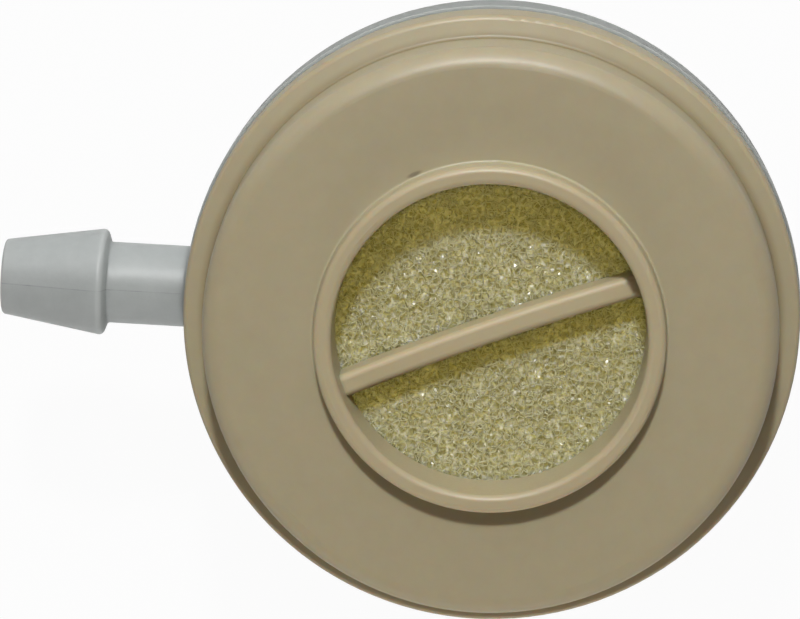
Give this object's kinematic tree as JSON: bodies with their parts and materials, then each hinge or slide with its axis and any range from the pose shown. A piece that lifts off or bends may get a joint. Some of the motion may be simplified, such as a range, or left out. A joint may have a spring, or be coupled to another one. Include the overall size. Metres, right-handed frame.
{
  "type": "heat and moisture exchanger",
  "caption": "Disc-shaped heat and moisture exchanger: tan cover with an open collar and crossbar over foam, grey drum with a tapered socket below and a barbed oxygen nozzle at the side.",
  "frame": {"origin": "middle of the airway socket's mouth, on which the part stands", "axes": "+Z along the disc's axis, out of the collar on the face; the oxygen nozzle points along -X"},
  "size_m": [0.0526, 0.0404, 0.03],
  "materials": {
    "tan_cover": "satin moulded polypropylene, beige",
    "grey_housing": "satin moulded polypropylene, light grey",
    "foam": "open-cell polyurethane foam, pale yellow-green"
  },
  "bodies": {
    "root": {"front_cover": "tan_cover", "rear_housing": "grey_housing", "foam_disc": "foam"}
  },
  "joints": []
}
